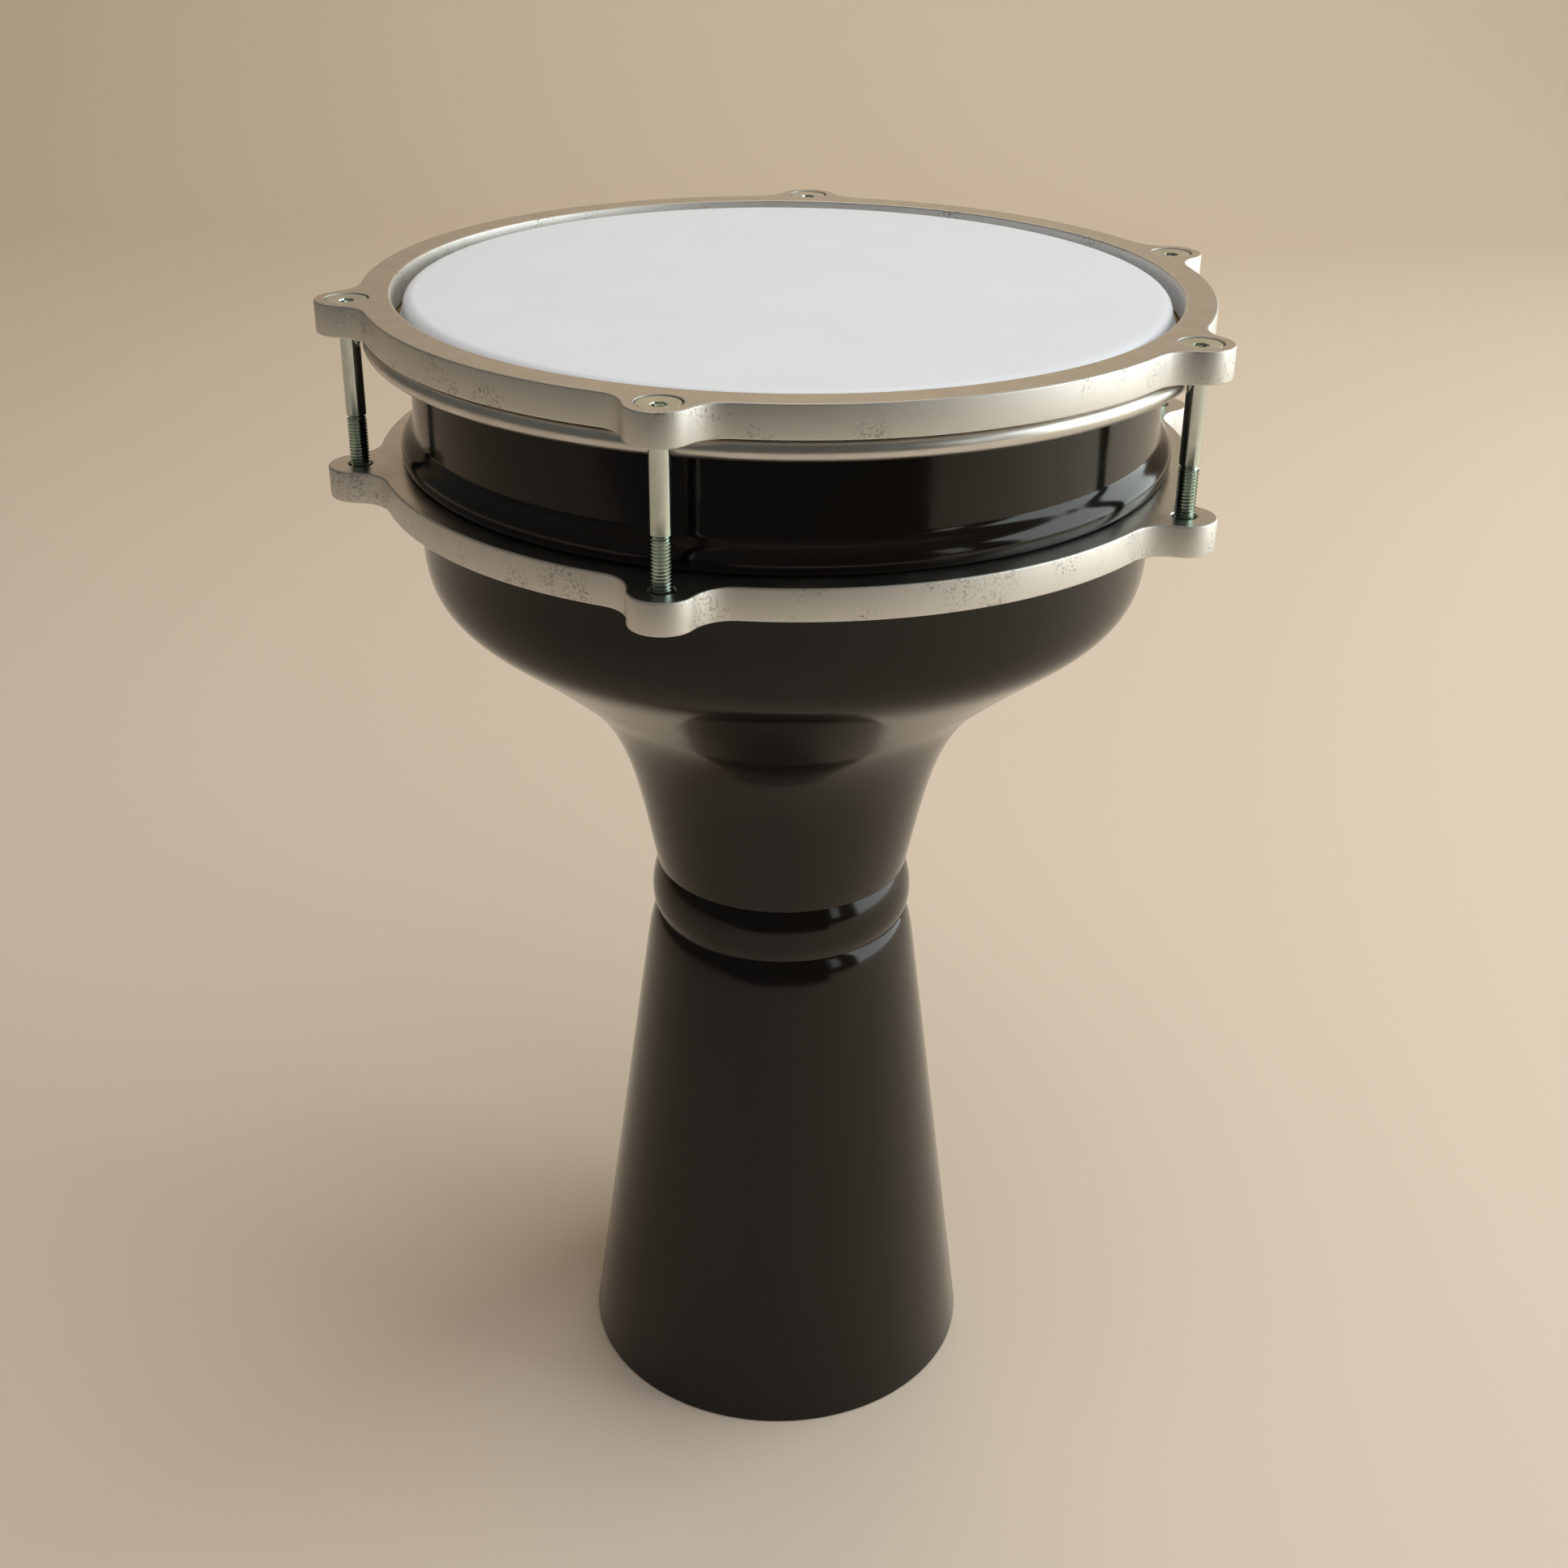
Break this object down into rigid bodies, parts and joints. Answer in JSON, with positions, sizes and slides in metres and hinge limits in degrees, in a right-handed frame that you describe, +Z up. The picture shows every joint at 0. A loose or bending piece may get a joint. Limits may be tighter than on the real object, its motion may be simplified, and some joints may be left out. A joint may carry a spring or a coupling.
{
  "type": "goblet drum",
  "caption": "Goblet hand drum with a black cast body, a conical foot and a white head pulled down by an eared hoop and tension screws",
  "frame": {"origin": "on the drum's axis, at the floor plane under the foot", "axes": "+Z up along the drum's axis, -Y towards the viewer at the front, +X to the right"},
  "size_m": [0.2735, 0.2802, 0.3975],
  "materials": {
    "black_coat": "gloss black powder coat on cast aluminium",
    "cast_ring": "satin cast aluminium",
    "polished_ring": "polished aluminium",
    "resin": "cast resin",
    "film": "smooth white polyester film",
    "zinc_steel": "zinc-plated steel",
    "insert_steel": "plain steel"
  },
  "bodies": {
    "shell": {"foot_shell": "black_coat", "neck_collar": "black_coat", "bowl_shell": "black_coat", "lower_ring": "cast_ring", "head_film": "film", "thread_insert_1": "insert_steel", "thread_insert_2": "insert_steel", "thread_insert_3": "insert_steel", "thread_insert_4": "insert_steel", "thread_insert_5": "insert_steel"},
    "hoop": {"top_hoop": "cast_ring", "flesh_hoop": "polished_ring", "flesh_resin": "resin"},
    "screw_1": {"tension_screw_1": "zinc_steel"},
    "screw_2": {"tension_screw_2": "zinc_steel"},
    "screw_3": {"tension_screw_3": "zinc_steel"},
    "screw_4": {"tension_screw_4": "zinc_steel"},
    "screw_5": {"tension_screw_5": "zinc_steel"}
  },
  "joints": [
    {"name": "hoop_travel", "type": "slide", "parent": "shell", "child": "hoop", "axis": [0, 0, -1], "range_m": [-0.002, 0.003]},
    {"name": "screw_1_turn", "type": "hinge", "parent": "hoop", "child": "screw_1", "pos_m": [-0.03208, -0.12866, 0.3972], "axis": [0, 0, -1], "range_deg": [-720, 1080]},
    {"name": "screw_2_turn", "type": "hinge", "parent": "hoop", "child": "screw_2", "pos_m": [0.11484, -0.0663, 0.3972], "axis": [0, 0, -1], "range_deg": [-720, 1080]},
    {"name": "screw_3_turn", "type": "hinge", "parent": "hoop", "child": "screw_3", "pos_m": [0.1246, 0.04535, 0.3972], "axis": [0, 0, -1], "range_deg": [-720, 1080]},
    {"name": "screw_4_turn", "type": "hinge", "parent": "hoop", "child": "screw_4", "pos_m": [0.00694, 0.13242, 0.3972], "axis": [0, 0, -1], "range_deg": [-720, 1080]},
    {"name": "screw_5_turn", "type": "hinge", "parent": "hoop", "child": "screw_5", "pos_m": [-0.1297, -0.02757, 0.3972], "axis": [0, 0, -1], "range_deg": [-720, 1080]}
  ],
  "couplings": [
    {"joint": "screw_1_turn", "follows": "hoop_travel", "rad_per_m": 6283.2},
    {"joint": "screw_2_turn", "follows": "hoop_travel", "rad_per_m": 6283.2},
    {"joint": "screw_3_turn", "follows": "hoop_travel", "rad_per_m": 6283.2},
    {"joint": "screw_4_turn", "follows": "hoop_travel", "rad_per_m": 6283.2},
    {"joint": "screw_5_turn", "follows": "hoop_travel", "rad_per_m": 6283.2}
  ]
}
